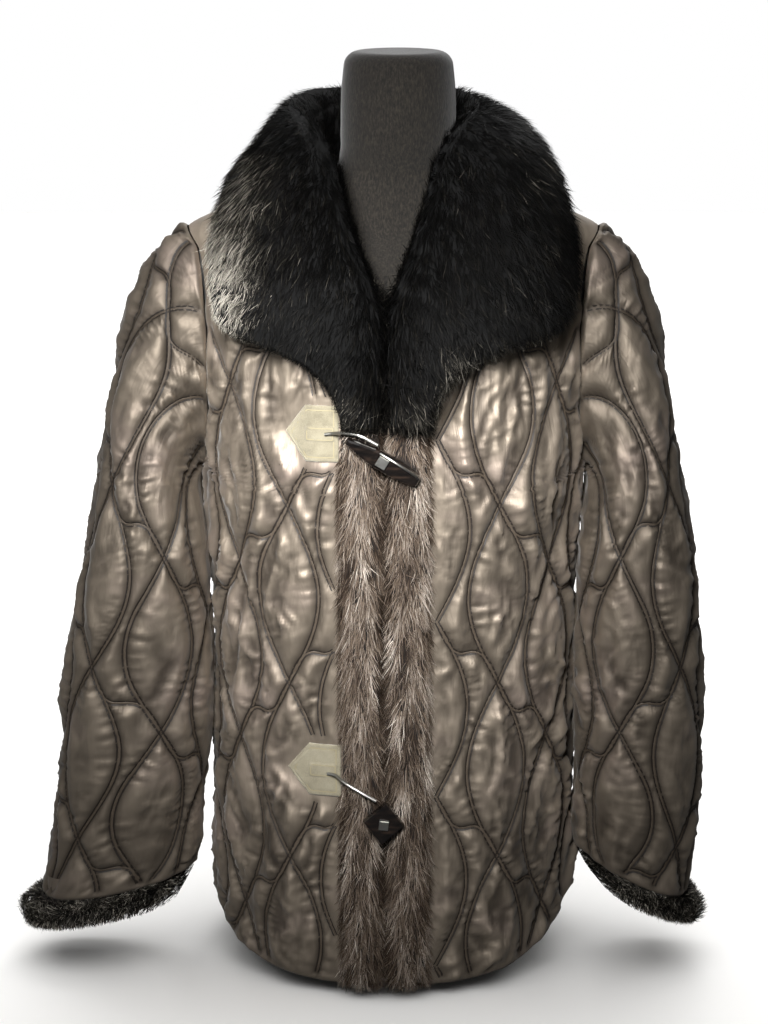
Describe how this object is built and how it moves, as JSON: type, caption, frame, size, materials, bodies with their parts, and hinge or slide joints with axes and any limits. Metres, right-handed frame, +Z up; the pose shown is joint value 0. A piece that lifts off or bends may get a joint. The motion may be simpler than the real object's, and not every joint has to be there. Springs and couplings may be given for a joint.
{
  "type": "quilted jacket on a dress form",
  "caption": "Hip-length quilted satin jacket with a large turned-down fur collar, fur front edges and cuffs, and toggle fastenings, worn by a neck-and-torso dress form.",
  "frame": {"origin": "middle of the dress form's flat underside", "axes": "+Z up through the neck, -Y out of the jacket's front, -X towards the wearer's right sleeve"},
  "size_m": [0.6699, 0.3086, 0.871],
  "materials": {
    "front_right": "quilted satin",
    "front_left": "quilted satin",
    "back": "quilted satin",
    "sleeve_right": "quilted satin",
    "sleeve_left": "quilted satin",
    "collar": "long dark fur",
    "fur_strip_right": "brown guard-hair fur",
    "fur_strip_left": "brown guard-hair fur",
    "cuff_right": "dark fur",
    "cuff_left": "dark fur",
    "tab_upper": "cream suede",
    "tab_lower": "cream suede",
    "cord_upper": "silver-grey cord",
    "cord_lower": "silver-grey cord",
    "toggle_upper": "polished dark horn",
    "toggle_lower": "polished dark horn",
    "stud_upper": "silver-grey metal",
    "stud_lower": "silver-grey metal",
    "dress_form": "heathered grey-brown jersey"
  },
  "bodies": {
    "root": {"front_right": "front_right", "front_left": "front_left", "back": "back", "sleeve_right": "sleeve_right", "sleeve_left": "sleeve_left", "collar": "collar", "fur_strip_right": "fur_strip_right", "fur_strip_left": "fur_strip_left", "cuff_right": "cuff_right", "cuff_left": "cuff_left", "tab_upper": "tab_upper", "tab_lower": "tab_lower", "cord_upper": "cord_upper", "cord_lower": "cord_lower", "toggle_upper": "toggle_upper", "toggle_lower": "toggle_lower", "stud_upper": "stud_upper", "stud_lower": "stud_lower", "dress_form": "dress_form"}
  },
  "joints": []
}
